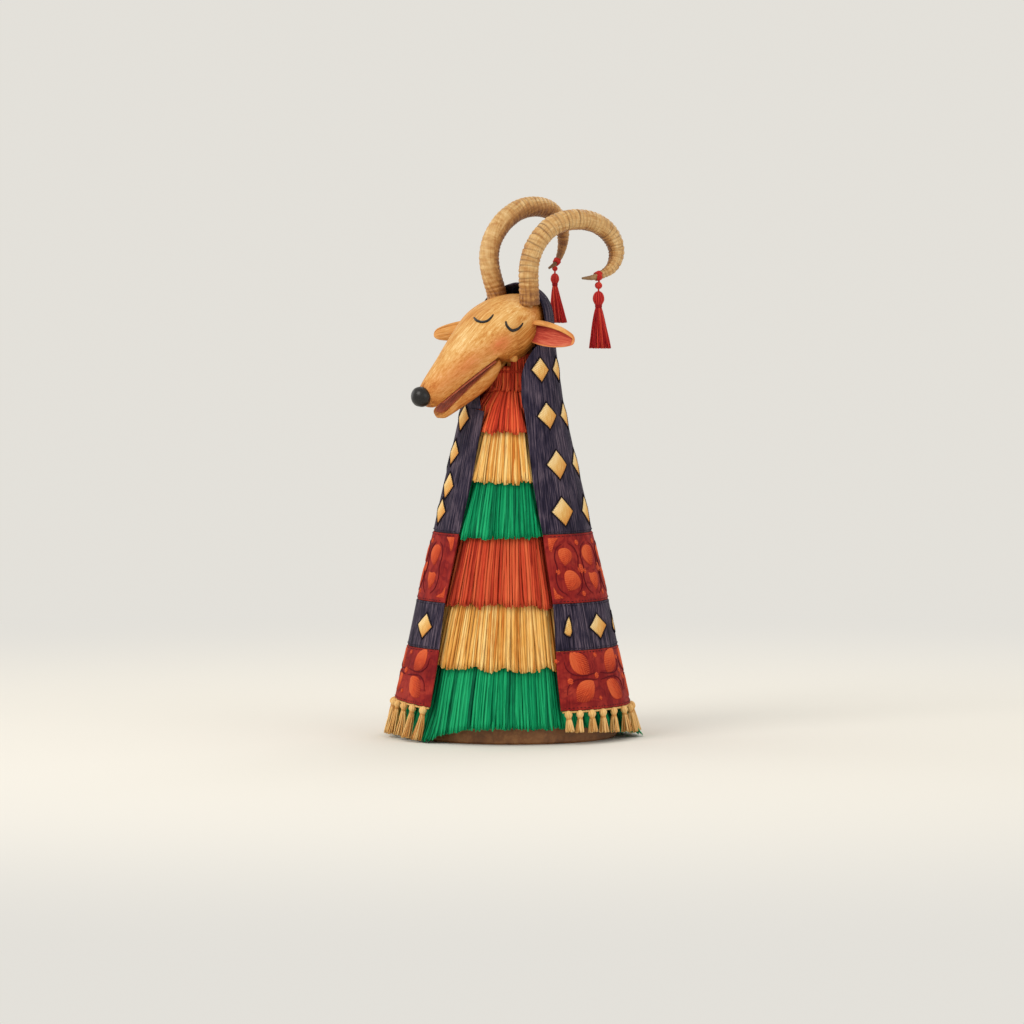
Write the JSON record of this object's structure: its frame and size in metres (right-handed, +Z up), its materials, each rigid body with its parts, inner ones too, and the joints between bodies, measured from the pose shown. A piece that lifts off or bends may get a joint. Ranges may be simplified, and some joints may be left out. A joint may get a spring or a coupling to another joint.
{
  "type": "folk goat figure",
  "caption": "Standing folk goat figure in straw and raffia: woven cloak, hood, carved swivel head with clapping jaw, ringed horns with red tassels",
  "frame": {"origin": "On the floor, at the middle of the cloak hem, under the post axis", "axes": "+Z up along the post, -Y out of the cloak opening, +X to the figure's left"},
  "size_m": [0.2857, 0.2811, 0.5918],
  "materials": {
    "base_wood": "satin",
    "dowel_wood": "matte",
    "carved_wood": "satin",
    "bound_straw": "matte",
    "raffia_red": "matte",
    "raffia_cream": "matte",
    "raffia_green": "matte",
    "raffia_orange": "matte",
    "twine": "matte",
    "cloth_navy": "matte",
    "cloth_crimson": "matte",
    "horn": "satin",
    "ear_felt": "matte",
    "ear_pink": "matte",
    "mouth_felt": "matte",
    "black_paint": "gloss",
    "steel": "satin",
    "tassel_red": "matte"
  },
  "bodies": {
    "stand": {"base_disc": "base_wood", "post": "dowel_wood", "post_collar": "base_wood", "straw_core": "bound_straw", "neck_bush": "dowel_wood", "tier_1_red": "raffia_red", "tier_2_cream": "raffia_cream", "tier_3_green": "raffia_green", "tier_4_orange": "raffia_orange", "tier_5_cream": "raffia_cream", "tier_6_green": "raffia_green", "twine_tie_1": "twine", "twine_tie_2": "twine", "twine_tie_3": "twine", "cloak_upper_navy": "cloth_navy", "cloak_band_red_upper": "cloth_crimson", "cloak_band_navy_lower": "cloth_navy", "cloak_band_red_lower": "cloth_crimson", "hem_fringe_right": "raffia_cream", "hem_fringe_back_right": "raffia_cream", "hem_fringe_back_left": "raffia_cream", "hem_fringe_left": "raffia_cream"},
    "head": {"head_carving": "carved_wood", "palate_lining": "mouth_felt", "nose_ball": "black_paint", "jaw_pin": "steel", "ear_left": "ear_felt", "ear_right": "ear_felt", "ear_lining_left": "ear_pink", "ear_lining_right": "ear_pink", "horn_left": "horn", "horn_right": "horn", "horn_peg_left": "dowel_wood", "horn_peg_right": "dowel_wood", "neck_block": "dowel_wood", "neck_ruff_red": "raffia_red", "hood_navy": "cloth_navy", "horn_cord_left": "tassel_red", "horn_cord_right": "tassel_red"},
    "jaw": {"lower_jaw": "carved_wood", "jaw_lining": "mouth_felt"},
    "pull": {"pull_rod": "steel", "rod_cap": "steel", "pull_knob": "base_wood"},
    "knot_left": {"tassel_knot_left": "tassel_red"},
    "knot_right": {"tassel_knot_right": "tassel_red"},
    "tassel_left": {"tassel_head_left": "tassel_red", "tassel_skirt_left": "tassel_red"},
    "tassel_right": {"tassel_head_right": "tassel_red", "tassel_skirt_right": "tassel_red"}
  },
  "joints": [
    {"name": "head_turn", "type": "hinge", "parent": "stand", "child": "head", "pos_m": [0, 0, 0.392], "axis": [0, 0, 1], "range_deg": [-15, 60]},
    {"name": "jaw_hinge", "type": "hinge", "parent": "head", "child": "jaw", "pos_m": [-0.01607, -0.01944, 0.42245], "axis": [-0.78, 0.6155, 0.1126], "range_deg": [0, 6]},
    {"name": "jaw_pull", "type": "slide", "parent": "stand", "child": "pull", "axis": [0, 0, 1], "range_m": [-0.0027, 0]},
    {"name": "knot_swing_left", "type": "hinge", "parent": "head", "child": "knot_left", "pos_m": [0.09157, 0.02782, 0.5032], "axis": [-0.682, -0.7314, 0], "range_deg": [-20, 20]},
    {"name": "tassel_swing_left", "type": "hinge", "parent": "knot_left", "child": "tassel_left", "pos_m": [0.09157, 0.02782, 0.4943], "axis": [0.7314, -0.682, 0], "range_deg": [-25, 25]},
    {"name": "knot_swing_right", "type": "hinge", "parent": "head", "child": "knot_right", "pos_m": [0.03227, 0.08886, 0.518], "axis": [-0.682, -0.7314, 0], "range_deg": [-20, 20]},
    {"name": "tassel_swing_right", "type": "hinge", "parent": "knot_right", "child": "tassel_right", "pos_m": [0.03227, 0.08886, 0.5108], "axis": [0.7314, -0.682, 0], "range_deg": [-25, 25]}
  ],
  "couplings": [
    {"joint": "jaw_pull", "follows": "jaw_hinge", "m_per_rad": -0.025057}
  ]
}
